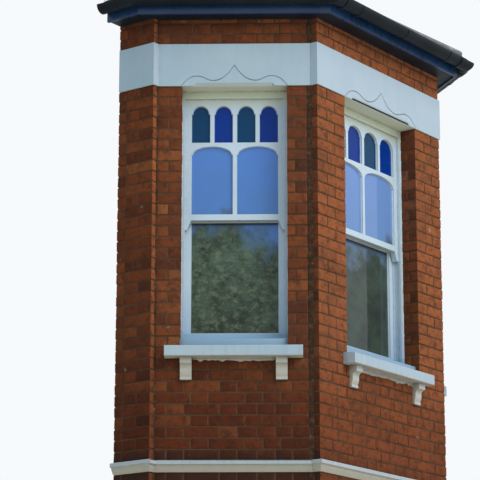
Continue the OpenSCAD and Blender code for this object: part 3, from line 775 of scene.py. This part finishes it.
def bond(length, course):
    """Joints of a plain stretch in Flemish bond."""
    places, place, header = [], 0.08 if course == EVEN else 0.19, course == EVEN
    while place < length - 0.05:
        places.append(place)
        place += HEADER if header else STRETCHER
        header = not header
    return places


def lay(bricks, points, joints, low, high, both=True):
    """Lay a stretch of wall and its mirror image."""
    path = Path(points)
    bricks.wall(path, low, high, joints)
    if both:
        bricks.wall(Path(mirrored(points)), low, high, backwards(path, joints))


def jamb(side, edge, depths):
    """Plan points on the reveal at an edge of an opening, -1 its left and 1 its right."""
    x = edge * opening(side) / 2
    return [point.xy for point in placed(face_matrix(side), [(x, y, 0) for y in depths])]


def brickwork():
    out = left_outline()
    front_half = out[3:5]
    cant_end = out[3] + (out[2] - out[3]).normalized() * CORNER_GAP
    zones = (
        ("bricks_base", 0.0, STRING_LOW, 3),
        ("bricks_apron", STRING_HIGH, SILL_Z, 5),
        ("bricks_piers", SILL_Z, BAND_LOW, 7),
        ("bricks_top", BAND_HIGH, PLATE_Z, 11))
    for name, low, high, seed in zones:
        bricks = Bricks(seed)
        thick = BASE_T if name == "bricks_base" else WALL_T
        shift = thick - WALL_T
        joints = [[HEADER] * bool(shift) + [place + shift for place in row] for row in RETURN_JOINTS]
        lay(bricks, [Vector((-HALF_W + thick, WALL_Y)), *out[:3]], joints, low, high)
        if name == "bricks_piers":
            lay(bricks, [out[2], *jamb(LEFT, -1, (0, REVEAL))], CANT_PIER_JOINTS, low, high)
            corner_pier = [*jamb(LEFT, 1, (REVEAL, 0)), cant_end]
            lay(bricks, corner_pier, backwards(Path(corner_pier), CANT_PIER_JOINTS), low, high)
            lay(bricks, [*front_half, *jamb(FRONT, -1, (0, REVEAL))], FRONT_PIER_JOINTS, low, high)
        else:
            lay(bricks, [out[2], cant_end], CANT_JOINTS, low, high)
            lay(bricks, front_half + mirrored(front_half), FRONT_JOINTS, low, high, both=False)
        if name == "bricks_base":
            inner = plain(-BASE_T)[::-1]
            for a, b in zip(inner, inner[1:]):
                joints = [bond((b - a).length, course) for course in (EVEN, ODD)]
                lay(bricks, [a, b], joints, low, high, both=False)
        bricks.make(name, "brick")


MORTAR_LIP, MORTAR_CROWN, MORTAR_BACK, MORTAR_PACE = 0.0036, 0.0060, -0.003, 0.02


def corner_joints():
    """Ragged mortar in the inner corners beside the nibs, where the canted bricks stop short."""
    shape = Shape()
    out = left_outline()
    zones = ((0.0, STRING_LOW), (STRING_HIGH, BAND_LOW), (BAND_HIGH, PLATE_Z))
    # Each corner: its path, its place along it, and how far the mortar reaches before and after it
    corners = ((Path(out[1:4]), NIB, 0.013, 0.010), (Path(out[2:5]), CANT_LEN, CORNER_GAP + 0.006, 0.009))
    for low, high in zones:
        count = round((high - low) / MORTAR_PACE)
        for mirror in (1, -1):
            for index, (path, corner, reach_before, reach_after) in enumerate(corners):
                rings = []
                for z in spaced(low, high, count):
                    ragged = noise((z * 21, 3 * index + mirror, 5))
                    ragged += 0.7 * noise((z * 67, 8, index))
                    before = reach_before + 0.007 * ragged
                    after = reach_after + 0.004 * ragged
                    section = (
                        (-before, MORTAR_BACK), (-before * 0.8, MORTAR_LIP + 0.001 * ragged),
                        (0, MORTAR_CROWN + 0.0015 * ragged),
                        (after * 0.8, MORTAR_LIP), (after, MORTAR_BACK), (0, 2 * MORTAR_BACK))
                    ring = [path.at(corner + along, proud) for along, proud in section]
                    rings.append([(mirror * q.x, q.y, z) for q in ring])
                shape.loft(rings)
    shape.make("corner_mortar", "brick", "corner_mortar")


POINTING_DROP = {LEFT: 0.026, FRONT: 0.034, RIGHT: 0.026}
POINTING_STEPS = 90
BRACKET_CLEAR = 0.08


def sill_pointing():
    """Ragged painted mortar on the bricks under each sill, between its brackets."""
    shape = Shape()
    for side, deepest in POINTING_DROP.items():
        reach = opening(side) / 2 - BRACKET_CLEAR
        rings = []
        for x in spaced(-reach, reach, POINTING_STEPS):
            ragged = noise((x * 9 + 7 * side, 2, 4)) + 0.6 * noise((x * 34, 9, side))
            tapered = min(1, (reach - abs(x)) / 0.03 + 0.2)
            drop = deepest * max(0.25, 0.62 + 0.6 * ragged) * tapered
            section = [(-0.0085, 0), (-0.0085, -0.6 * drop), (-0.0045, -drop), (0.002, -drop), (0.002, 0)]
            rings.append(placed(face_matrix(side), [(x, y, SILL_Z + z) for y, z in section]))
        shape.loft(rings)
    shape.make("sill_pointing", "painted_stone", "warm_lit_stone")


# Roof covering: slates laid by courses on a thin sheet, cut along the hips

PITCH = radians(32)
RISE = tan(PITCH)
EAVES_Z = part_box("fascia")[1].z
EAVES_OUT = -HALF_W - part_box("fascia")[0].x
SLATE_EDGE = -HALF_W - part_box("slate_roof")[0].x
SLATE_EDGE_Z = EAVES_Z + (EAVES_OUT - SLATE_EDGE) * RISE
SLATE_WIDE, SLATE_THICK, SLATE_GAP = 0.250, 0.0065, 0.0025
SLATE_GAUGE = 0.205 * cos(PITCH)
SLATE_LONG = 1.25 * SLATE_GAUGE
SHEET_T, SLATE_LIFT, SLATE_SLANT = 0.014, 0.0225, 0.009
SMALLEST_SLATE = 2e-4
SIDE_OUT, CANT_OUT, FRONT_OUT = Vector((-1, 0)), Vector((-SIN_C, -COS_C)), Vector((0, -1))


def hips():
    """Plan of the left hips from eaves to top, each with the outward normal of the slope behind it."""
    d = (NIB * SIN_C - RETURN_LEN * COS_C) / (1 - SIN_C)
    edge = left_plain(SLATE_EDGE)
    depth = WALL_Y - FRONT_Y
    return (edge[1], left_plain(d)[1], SIDE_OUT), (edge[2], left_plain(-depth)[2], CANT_OUT)


def slopes():
    """Plan polygon and outward normal of each slope."""
    (corner_1, top_1, _), (corner_2, top_2, _) = hips()
    side = ([left_plain(SLATE_EDGE)[0], corner_1, top_1], SIDE_OUT)
    cant = ([corner_1, corner_2, top_2, top_1], CANT_OUT)
    front = ([corner_2, *mirrored([corner_2]), *mirrored([top_2]), top_2], FRONT_OUT)
    right = [(mirrored(points), *mirrored([outward])) for points, outward in (cant, side)]
    return [side, cant, front, *right]


def slate_roof():
    """Courses of slates, each tilted on the one below, over a sheet that closes the slope."""
    shape = Shape()
    chance = random.Random(17)
    for region, outward in slopes():
        if area(region) < 0:
            region = region[::-1]
        along = Vector((-outward.y, outward.x))
        foot = max(p.dot(outward) for p in region)
        reach = foot - min(p.dot(outward) for p in region)
        spread = [p.dot(along) for p in region]

        def level(p, rise=0.0, foot=foot, outward=outward):
            return SLATE_EDGE_Z + (foot - p.dot(outward)) * RISE + rise

        shape.prism(region, level, lambda p: level(p, SHEET_T), 0.2)
        for row in range(int(reach / SLATE_GAUGE) + 1):
            x = min(spread) - SLATE_WIDE * (0.5 if row % 2 else 1.0)
            while x < max(spread):
                near = foot - row * SLATE_GAUGE + chance.uniform(-0.002, 0.002)
                start, end, far = x + SLATE_GAP, x + SLATE_WIDE - SLATE_GAP, near - SLATE_LONG
                x += SLATE_WIDE
                corners = ((start, near), (end, near), (end, far), (start, far))
                points = [along * a + outward * min(b, foot) for a, b in corners]
                points = clipped(points if area(points) > 0 else points[::-1], region)
                if len(points) < 3 or abs(area(points)) < SMALLEST_SLATE:
                    continue
                tip = chance.uniform(0.0, 0.0015)

                def under(p, rise=0.0, near=near, tip=tip):
                    share = min(max((near - p.dot(outward)) / SLATE_LONG, 0), 1)
                    return level(p, SLATE_LIFT + tip - SLATE_SLANT * share) + rise

                tone = min(max(chance.gauss(0.5, 0.25), 0), 1)
                shape.prism(points, under, lambda p: under(p, SLATE_THICK), tone)
    shape.make("slates", "slate", replaces=("slate_roof",), smooth=radians(20))


ROLL_R, ROLL_UP, ROLL_START, ROLL_STOP = 0.021, 0.036, 0.012, 1.6
ROLL_NOSE = ((0, 0.55), (0.008, 0.9), (0.02, 1))


def lead_rolls():
    """Rounded lead rolls dressed over a batten along each hip."""
    shape = Shape()
    circle = spaced(0, 2 * pi, 20)[:-1]
    for mirror in (1, -1):
        for foot, head, outward in hips():
            rise = (foot - head).dot(outward) * RISE
            a = Vector((mirror * foot.x, foot.y, SLATE_EDGE_Z + ROLL_UP))
            b = Vector((mirror * head.x, head.y, a.z + rise))
            axis = (b - a).normalized()
            a += axis * ROLL_START
            across = axis.cross(Vector((0, 0, 1))).normalized()
            over = across.cross(axis)
            stop = (b - a).length - ROLL_STOP * ROLL_R / axis.y
            rings = []
            for along, size in (*ROLL_NOSE, (stop, 1)):
                centre, radius = a + axis * along, ROLL_R * size
                ring = [across * cos(t) + over * (sin(t) + 0.2) for t in circle]
                rings.append([centre + radius * point for point in ring])
            shape.loft(rings, 0.5)
    shape.make("lead_rolls", "lead")


GUTTER_R = (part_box("front_gutter")[1].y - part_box("front_gutter")[0].y) / 2
GUTTER_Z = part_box("front_gutter")[1].z
UNION_LONG, UNION_T, UNION_PLACE = 0.060, 0.005, 0.11
STRAP_WIDE, STRAP_T, STRAP_PACE = 0.024, 0.003, 0.55
BAND_STEPS = 16


def gutter_band(shape, centre, along, outward, thick, wide):
    """Half-round band under the gutter."""
    outer = GUTTER_R + thick
    rings = []
    for angle in spaced(pi, 2 * pi, BAND_STEPS):
        ring = []
        for r, shift in ((GUTTER_R, -wide), (outer, -wide), (outer, wide), (GUTTER_R, wide)):
            place = centre + along * (shift / 2) + outward * (r * cos(angle))
            ring.append((place.x, place.y, GUTTER_Z + r * sin(angle)))
        rings.append(ring)
    shape.loft(rings)


def gutter_fittings():
    """Unions where lengths of gutter meet, and the straps that carry it from the fascia."""
    shape = Shape()
    line = plain(EAVES_OUT + GUTTER_R)
    for index, (a, b) in enumerate(zip(line, line[1:])):
        length, along, outward = (b - a).length, (b - a).normalized(), normal_of(a, b)
        straps = max(1, round(length / STRAP_PACE))
        for k in range(straps):
            place = length * (k + 0.5) / straps
            gutter_band(shape, a + along * place, along, outward, STRAP_T, STRAP_WIDE)
        if 0 < index < len(line) - 2:
            for place in (UNION_PLACE, length - UNION_PLACE):
                gutter_band(shape, a + along * place, along, outward, UNION_T, UNION_LONG)
    shape.make("gutter_fittings", "gutter_metal")


# Windows: putty round each light outside, a moulded bead inside, cords, ironmongery and mastic

LINING_SHOW, RUN_DEPTH = 0.022, 0.014
STILE_W, BAR_W, GLASS_T, SASH_T = 0.055, 0.027, 0.004, 0.040
SASH_GAP = 0.0005
ARCH_RISE, SHOULDER, ARCH_STEPS = 0.056, 0.008, 24
UPPER_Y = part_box("front_upper_sash")[0].y - FRONT_Y
LOWER_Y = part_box("front_lower_sash")[0].y - FRONT_Y
COLOURED_LIGHTS, COLOURED_H = 4, COLOURED_HIGH - COLOURED_LOW
CLEAR_LIGHTS, CLEAR_H = 2, 0.480
# Profiles in pairs, into the light and into the room
PUTTY = ((0, 0), (0, -0.010), (0.001, -0.009), (0.003, 0))
OVOLO = [(0.010 - 0.008 * sin(a), 0.003 + 0.010 * (1 - cos(a))) for a in (0.5, 1.0, 1.5)]
BEAD = ((0, 0), (0.010, 0), (0.010, 0.003), *OVOLO, (0, 0.013))


def glazed_width(side):
    return opening(side) - 2 * LINING_SHOW + 2 * RUN_DEPTH - 2 * SASH_GAP - 2 * STILE_W


def light_outline(x, z, w, h):
    """Corner points of a light with an arched head on small shoulders."""
    spring = h - ARCH_RISE
    half = w / 2 - SHOULDER
    points = [(0, 0), (w, 0), (w, spring - SHOULDER / 2), (w - SHOULDER, spring)]
    for angle in spaced(0, pi, ARCH_STEPS)[1:-1]:
        points.append((w / 2 + half * cos(angle), spring + ARCH_RISE * sin(angle)))
    points += [(SHOULDER, spring), (0, spring - SHOULDER / 2)]
    return [Vector((x + px, z + pz)) for px, pz in points]


def inset(points, d):
    """Anticlockwise polygon moved in by d with mitred corners."""
    moved = []
    for k, p in enumerate(points):
        before, after = points[k - 1], points[(k + 1) % len(points)]
        moved.append(p - mitre(normal_of(before, p), normal_of(p, after)) * d)
    return moved


def lights(side):
    """Outlines of the glass on a face, with the depth of its sash."""
    w = glazed_width(side)
    rows = ((COLOURED_LIGHTS, COLOURED_LOW, COLOURED_H), (CLEAR_LIGHTS, CLEAR_HIGH - CLEAR_H, CLEAR_H))
    found = []
    for count, z, h in rows:
        one = (w - (count - 1) * BAR_W) / count
        found += [(light_outline(-w / 2 + k * (one + BAR_W), z, one, h), UPPER_Y) for k in range(count)]
    low, high = LOWER_GLASS_LOW, LOWER_GLASS_HIGH
    pane = [Vector(p) for p in ((-w / 2, low), (w / 2, low), (w / 2, high), (-w / 2, high))]
    return found + [(pane, LOWER_Y)]


def frame_round(shape, matrix, points, profile, start):
    """Strip round an outline, from a depth on."""
    rings = [inset(points, inwards) if inwards else points for inwards, _ in profile]
    loops = []
    for k in range(len(points)):
        corner = [(ring[k].x, start + depth, ring[k].y) for ring, (_, depth) in zip(rings, profile)]
        loops.append(placed(matrix, corner))
    shape.loft(loops, closed=True)


def glazing():
    putty, beads = Shape(), Shape()
    for side in SIDES:
        for points, sash_y in lights(side):
            face = sash_y + SASH_T / 2 - GLASS_T / 2
            frame_round(putty, face_matrix(side), points, PUTTY, face)
            frame_round(beads, face_matrix(side), points, BEAD, face + GLASS_T)
    putty.make("glazing_putty", "joinery")
    beads.make("glazing_beads", "joinery")


def turned(shape, matrix, centre, axis, profile, steps=20):
    """Solid of revolution about the Y or Z axis of a face. The profile has (along, radius) pairs."""
    rings = []
    for along, radius in profile:
        ring = []
        for angle in spaced(0, 2 * pi, steps)[:-1]:
            a, b = radius * cos(angle), radius * sin(angle)
            ring.append(Vector(centre) + Vector((a, along, b) if axis == "Y" else (a, b, along)))
        rings.append(placed(matrix, ring))
    shape.loft(rings)


CORD_R = 0.003
CORD_TOP = BAND_LOW - 0.17
CORD_INSET = LINING_SHOW - RUN_DEPTH + 0.006
PULLEY_WHEEL = ((-0.004, 0.012), (-0.004, 0.020), (0, 0.016), (0.004, 0.020), (0.004, 0.012))


def sash_cords():
    """Cords and pulleys of the lower sashes, seen in the empty runs over them from the room."""
    cords, pulleys = Shape(), Shape()
    y = LOWER_Y + SASH_T / 2
    length = ((LOWER_HIGH - 0.0005, CORD_R), (CORD_TOP, CORD_R))
    for side in SIDES:
        matrix = face_matrix(side)
        run_x = opening(side) / 2 - CORD_INSET
        for sign in (-1, 1):
            turned(cords, matrix, (sign * run_x, y, 0), "Z", length, 10)
            turned(pulleys, matrix, (sign * (run_x + 0.001), y, CORD_TOP + 0.004), "Y", PULLEY_WHEEL)
    cords.make("sash_cords", "interior_paint", "cord")
    pulleys.make("sash_pulleys", "interior_paint", "brass")


# Fastener: a plate 60 by 26, a post and an arm with its knob. Lifts: plates 44 by 30 with hooks 32 long
PLATE_X, PLATE_Y, PLATE_T = 0.030, 0.026, 0.003
ARM_LONG, ARM_X, ARM_LOW, ARM_HIGH = 0.034, 0.004, 0.006, 0.010
POST = ((0.002, 0.011), (0.010, 0.009), (0.014, 0.006), (0.016, 0.0015))
KNOB = ((0.000, 0.006), (0.012, 0.008), (0.015, 0.002))
LIFT_PLACE, LIFT_X, LIFT_T, LIFT_H, HOOK_X = 0.16, 0.022, 0.0025, 0.030, 0.016
HOOK = (
    (0.0015, 0.006), (0.0195, 0.008), (0.0275, 0.020),
    (0.0235, 0.022), (0.0175, 0.012), (0.0015, 0.011))


def sash_furniture():
    """Brass fastener on the meeting rails and two hook lifts on the bottom rail of each window."""
    shape = Shape()
    near = LOWER_Y + 0.006
    tip, back, low = near - ARM_LONG, LOWER_Y + SASH_T, LOWER_LOW + 0.016
    middle, top = near + PLATE_Y / 2, LOWER_HIGH
    for side in SIDES:
        matrix = face_matrix(side)
        shape.box(matrix, (-PLATE_X, near, top), (PLATE_X, near + PLATE_Y, top + PLATE_T))
        turned(shape, matrix, (0.0, middle, top), "Z", POST)
        shape.box(matrix, (-ARM_X, tip, top + ARM_LOW), (ARM_X, middle, top + ARM_HIGH))
        turned(shape, matrix, (0.0, tip, top), "Z", KNOB)
        for x in (-LIFT_PLACE, LIFT_PLACE):
            shape.box(matrix, (x - LIFT_X, back, low), (x + LIFT_X, back + LIFT_T, low + LIFT_H))
            ends = [[(end, back + out, low + up) for out, up in HOOK] for end in (x - HOOK_X, x + HOOK_X)]
            shape.loft([placed(matrix, ring) for ring in ends])
    shape.make("sash_furniture", "interior_paint", "brass")


MASTIC, MASTIC_LOW, MASTIC_STEPS = 0.007, SEAT_Z + 0.075, 40


def frame_mastic():
    """Painted fillet where each frame meets the brick of its reveal."""
    shape = Shape()
    back = REVEAL + 0.001
    for side in SIDES:
        for sign in (-1, 1):
            edge = sign * opening(side) / 2
            bed = edge + sign * 0.001
            rings = []
            for z in spaced(MASTIC_LOW, BAND_LOW, MASTIC_STEPS):
                size = MASTIC * (1 + 0.4 * noise((z * 13, sign, side)))
                section = ((bed, back, z), (bed, REVEAL - size, z), (edge - sign * size, back, z))
                rings.append(placed(face_matrix(side), section))
            shape.loft(rings)
    shape.make("frame_mastic", "joinery")


def mark_coloured_lights():
    """Number the coloured lights along each window, so that teal and deep blue take turns."""
    mesh = NODES["coloured_glass"].data
    layer = mesh.attributes.new("light", "FLOAT", "POINT")
    inverses = {side: face_matrix(side).inverted() for side in SIDES}
    values = []
    for vertex in mesh.vertices:
        places = {side: inverse @ vertex.co for side, inverse in inverses.items()}
        nearest = min(SIDES, key=lambda side: abs(places[side].y - UPPER_Y - SASH_T / 2))
        w = glazed_width(nearest)
        share = (places[nearest].x + w / 2 + BAR_W / 2) / (w + BAR_W)
        values.append(float(int(share * COLOURED_LIGHTS) % 2))
    layer.data.foreach_set("value", values)


# Floorboards

BOARD_WIDE, BOARD_GAP, BOARD_PROUD, BOARD_END = 0.150, 0.002, 0.003, 0.0007
PLASTER_T, SMALLEST_BOARD = 0.014, 1e-4


def floorboards():
    shape = Shape()
    chance = random.Random(23)
    region = plain(-WALL_T - PLASTER_T)
    y = FRONT_Y
    while y < WALL_Y:
        x = -HALF_W
        while x < HALF_W:
            length = chance.uniform(1.3, 2.2)
            start, end, far = x + BOARD_END, x + length - BOARD_END, y + BOARD_WIDE - BOARD_GAP
            corners = (start, y), (end, y), (end, far), (start, far)
            points = clipped([Vector(corner) for corner in corners], region)
            x += length
            if len(points) > 2 and area(points) > SMALLEST_BOARD:
                shape.prism(points, STRING_HIGH - 0.001, STRING_HIGH + BOARD_PROUD, chance.random())
        y += BOARD_WIDE
    shape.make("floorboards", "floorboards")


# Model nodes: materials by the ends of their names, and small rounded edges

NODE_MATERIALS = {
    "sill": "painted_stone", "course": "string_stone", "band": "band_stone", "brackets": "warm_lit_stone",
    "frame": "joinery", "sash": "joinery", "wall": "mortar", "pier": "mortar", "apron": "mortar",
    "brickwork": "mortar", "coloured_glass": "coloured_glass", "clear_glass": "clear_glass",
    "boards": "interior_paint", "plaster": "plaster", "floor": "floorboards", "ceiling": "plaster",
    "soffit": "soffit_paint", "fascia": "eaves_paint", "gutter": "gutter_metal",
    "plate": "rough_timber", "rafters": "rough_timber", "roof": "slate", "flashings": "lead",
}
ROUNDED = {
    "painted_stone": 0.0025, "band_stone": 0.0025, "string_stone": 0.0025, "warm_lit_stone": 0.0025,
    "joinery": 0.0015, "eaves_paint": 0.002, "soffit_paint": 0.001, "interior_paint": 0.002,
}


def modify(node, kind, **settings):
    modifier = node.modifiers.new(kind.lower(), kind)
    for name, value in settings.items():
        setattr(modifier, name, value)


def dress_nodes():
    for name, node in NODES.items():
        kind = next(kind for ending, kind in NODE_MATERIALS.items() if name.endswith(ending))
        node.data.materials.clear()
        node.data.materials.append(MATERIALS[kind])
        if kind in ROUNDED:
            modify(node, "WELD", merge_threshold=1e-5)
            modify(node, "DECIMATE", decimate_type="DISSOLVE", angle_limit=radians(0.4))
            modify(node, "BEVEL", width=ROUNDED[kind], segments=2, limit_method="ANGLE",
                   angle_limit=radians(28), use_clamp_overlap=True)


# Scene


def stand(name, data, place, forward, roll=0.0):
    """Put a camera or lamp at a place, looking along a direction."""
    item = linked(name, data)
    item.location = place
    item.rotation_mode = "QUATERNION"
    turn = Matrix.Rotation(roll, 3, "Z")
    item.rotation_quaternion = (forward.to_track_quat("-Z", "Y").to_matrix() @ turn).to_quaternion()
    return item


def camera():
    """The photograph's camera: long lens, low down and to the left."""
    data = bpy.data.cameras.new("camera")
    data.sensor_width = 36.0
    data.lens = 163.562
    data.clip_end = 100
    yaw, pitch, roll = 0.934132, 0.256144, 0.001198
    forward = Vector((sin(yaw) * cos(pitch), cos(yaw) * cos(pitch), sin(pitch)))
    SCENE.camera = stand("camera", data, (-12.391, -8.4007, -1.8281), forward, roll)


def soft_sun():
    """One wide lamp, high in front and a little to the left."""
    data = bpy.data.lights.new("soft_sun", "AREA")
    data.shape = "DISK"
    data.size = 14
    data.energy = 1450
    data.color = (1.0, 0.97, 0.92)
    towards = Vector((-0.24, -1.0, 0.70)).normalized()
    stand("soft_sun", data, Vector((0, 0, 1.8)) + towards * 16, -towards)


def sky():
    """White to the camera, in reflections and through glass, and a dimmer blue on the surfaces."""
    world = bpy.data.worlds.new("sky")
    SCENE.world = world
    g = Tree(world)
    blue = g.tree.nodes["Background"]
    g.put(blue.inputs["Color"], (0.80, 0.90, 1.0, 1))
    g.put(blue.inputs["Strength"], 0.54)
    white = g.add("Background", {"Color": (0.93, 0.95, 0.97, 1)})
    rays = g.add("LightPath").outputs
    seen = rays["Is Camera Ray"]
    for kind in ("Glossy", "Transmission"):
        seen = g.math("MAXIMUM", seen, rays[f"Is {kind} Ray"])
    mix = g.add("MixShader", {0: seen, 1: blue.outputs[0], 2: white.outputs[0]})
    g.put(g.tree.nodes["World Output"].inputs[0], mix.outputs[0])


def ground():
    """Pale ground, seen from above only, because the camera looks up from below its level."""
    g = Graph("ground")
    g.colour = g.two_tone(0.8, (0.86, 0.84, 0.79), (0.88, 0.86, 0.81))
    g.finish(1.0, 0.0)
    below = g.add("NewGeometry").outputs["Backfacing"]
    clear = g.add("BsdfTransparent").outputs[0]
    mix = g.add("MixShader", {0: below, 1: g.shader.outputs[0], 2: clear})
    g.put(g.tree.nodes["Material Output"].inputs[0], mix.outputs[0])
    mesh = bpy.data.meshes.new("ground")
    corners = [(x, y, 0) for x, y in ((-30, -30), (30, -30), (30, 30), (-30, 30))]
    mesh.from_pydata(corners, [], [range(4)])
    mesh.materials.append(g.material)
    floor = linked("ground", mesh)


SCENE.view_settings.view_transform = "Standard"
dress_nodes()
mark_coloured_lights()
brickwork()
corner_joints()
sill_pointing()
slate_roof()
lead_rolls()
gutter_fittings()
glazing()
frame_mastic()
sash_cords()
sash_furniture()
floorboards()
camera()
sky()
ground()
soft_sun()
